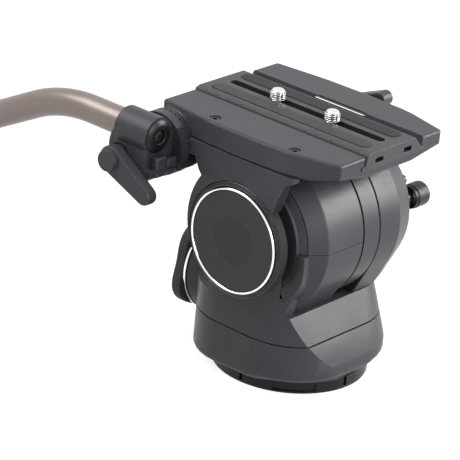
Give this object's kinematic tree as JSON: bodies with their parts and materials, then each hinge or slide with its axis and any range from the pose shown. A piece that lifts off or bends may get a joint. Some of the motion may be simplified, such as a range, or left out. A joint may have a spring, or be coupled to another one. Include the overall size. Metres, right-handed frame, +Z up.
{
  "type": "fluid video head",
  "caption": "Fluid video head with a flat base, a sliding camera plate, a tilt drag dial, a counterbalance dial and a bent pan handle.",
  "frame": {"origin": "centre of the flat base's underside, on the pan axis", "axes": "+Z up along the pan axis; -Y towards the lens; -X towards the side with the tilt drag dial and the pan handle"},
  "size_m": [0.182, 0.4002, 0.1747],
  "materials": {
    "body_paint": "satin charcoal paint on cast aluminium",
    "dark_paint": "satin black paint",
    "black_base": "black anodised",
    "plate_paint": "fine satin charcoal anodising",
    "steel": "bright turned steel",
    "black_steel": "blackened steel",
    "bright_ring": "bright",
    "rubber": "matt ribbed rubber",
    "tube_paint": "satin warm grey anodised tube"
  },
  "bodies": {
    "base": {"base_ring": "black_base", "socket_bush": "steel", "pan_spindle": "steel", "base_screw_1": "black_steel", "base_screw_2": "black_steel", "base_screw_3": "black_steel"},
    "pan_housing": {"skirt": "body_paint", "upper_housing": "body_paint", "barrel_upper": "body_paint", "barrel_lower": "body_paint", "near_cap_upper": "dark_paint", "near_cap_lower": "dark_paint", "far_barrel": "body_paint", "far_cap": "body_paint", "cap_screw_1": "black_steel", "cap_screw_2": "black_steel", "cap_screw_3": "black_steel", "cap_screw_4": "black_steel", "tilt_lock_neck": "steel", "pan_lock_neck": "steel"},
    "tilt_cradle": {"platform": "body_paint", "middle_drum": "body_paint", "near_arm": "body_paint", "tilt_axle": "steel", "near_rosette": "dark_paint", "wing_screw_1": "black_steel", "wing_screw_2": "black_steel"},
    "tilt_drag_dial": {"dial_drum": "dark_paint", "dial_ring": "bright_ring", "dial_face": "dark_paint", "dial_disc": "dark_paint"},
    "counterbalance_dial": {"rear_dial_base": "body_paint", "rear_dial_ring": "bright_ring", "rear_dial_grip": "rubber", "rear_dial_disc": "dark_paint"},
    "tilt_lock": {"tilt_lock_collar": "black_base", "tilt_lock_knob": "body_paint"},
    "pan_lock": {"pan_lock_collar": "black_base", "pan_lock_knob": "body_paint"},
    "camera_plate": {"slide_plate": "plate_paint", "near_pad": "rubber", "far_pad": "rubber"},
    "front_screw_carrier": {"screw_carrier_front": "black_steel"},
    "rear_screw_carrier": {"screw_carrier_rear": "black_steel"},
    "front_camera_screw": {"camera_screw_front": "steel"},
    "rear_camera_screw": {"camera_screw_rear": "steel"},
    "plate_clamp_bar": {"clamp_bar": "bright_ring"},
    "plate_lock": {"plate_lock_lever": "body_paint"},
    "handle_bracket": {"handle_clamp": "body_paint", "holder_plug": "dark_paint"},
    "handle_lever": {"wing_lever": "body_paint"},
    "pan_handle": {"handle_tube": "tube_paint", "handle_grip": "rubber", "handle_end_cap": "dark_paint"}
  },
  "joints": [
    {"name": "pan", "type": "hinge", "parent": "base", "child": "pan_housing", "pos_m": [0, 0, 0.0305], "axis": [0, 0, 1], "continuous": true},
    {"name": "tilt", "type": "hinge", "parent": "pan_housing", "child": "tilt_cradle", "pos_m": [0, 0, 0.1004], "axis": [1, 0, 0], "range_deg": [-55, 90]},
    {"name": "tilt_drag_turn", "type": "hinge", "parent": "tilt_cradle", "child": "tilt_drag_dial", "pos_m": [0, 0, 0.1004], "axis": [1, 0, 0], "range_deg": [-135, 135]},
    {"name": "counterbalance_turn", "type": "hinge", "parent": "pan_housing", "child": "counterbalance_dial", "pos_m": [0, 0.065, 0.044], "axis": [0, 1, 0], "range_deg": [-150, 150]},
    {"name": "tilt_lock_turn", "type": "hinge", "parent": "pan_housing", "child": "tilt_lock", "pos_m": [0.068, -0.0357, 0.1085], "axis": [1, 0, 0], "range_deg": [-90, 90]},
    {"name": "pan_lock_turn", "type": "hinge", "parent": "pan_housing", "child": "pan_lock", "pos_m": [0.068, 0.006, 0.045], "axis": [1, 0, 0], "range_deg": [-90, 90]},
    {"name": "plate_slide", "type": "slide", "parent": "tilt_cradle", "child": "camera_plate", "axis": [0, 1, 0], "range_m": [-0.03, 0.03]},
    {"name": "front_carrier_slide", "type": "slide", "parent": "camera_plate", "child": "front_screw_carrier", "axis": [0, 1, 0], "range_m": [-0.027, 0.012]},
    {"name": "rear_carrier_slide", "type": "slide", "parent": "camera_plate", "child": "rear_screw_carrier", "axis": [0, 1, 0], "range_m": [-0.012, 0.025]},
    {"name": "front_screw_spin", "type": "hinge", "parent": "front_screw_carrier", "child": "front_camera_screw", "pos_m": [0.0015, -0.0135, 0.162], "axis": [0, 0, 1], "continuous": true},
    {"name": "rear_screw_spin", "type": "hinge", "parent": "rear_screw_carrier", "child": "rear_camera_screw", "pos_m": [0.0015, 0.0307, 0.162], "axis": [0, 0, 1], "continuous": true},
    {"name": "plate_lock_turn", "type": "hinge", "parent": "tilt_cradle", "child": "plate_lock", "pos_m": [0.068, 0.022, 0.1492], "axis": [1, 0, 0], "range_deg": [-45, 0]},
    {"name": "clamp_bar_slide", "type": "slide", "parent": "tilt_cradle", "child": "plate_clamp_bar", "axis": [1, 0, 0], "range_m": [0, 0.001]},
    {"name": "handle_angle", "type": "hinge", "parent": "tilt_cradle", "child": "handle_bracket", "pos_m": [-0.066, 0.0645, 0.1437], "axis": [1, 0, 0], "range_deg": [-90, 90]},
    {"name": "handle_lever_turn", "type": "hinge", "parent": "handle_bracket", "child": "handle_lever", "pos_m": [-0.095, 0.075, 0.1372], "axis": [1, 0, 0], "range_deg": [-20, 100]},
    {"name": "handle_roll", "type": "hinge", "parent": "handle_bracket", "child": "pan_handle", "pos_m": [-0.0825, 0.078, 0.1555], "axis": [0, 1, 0], "range_deg": [0, 180]}
  ],
  "couplings": [
    {"joint": "clamp_bar_slide", "follows": "plate_lock_turn", "m_per_rad": -0.0012732}
  ]
}
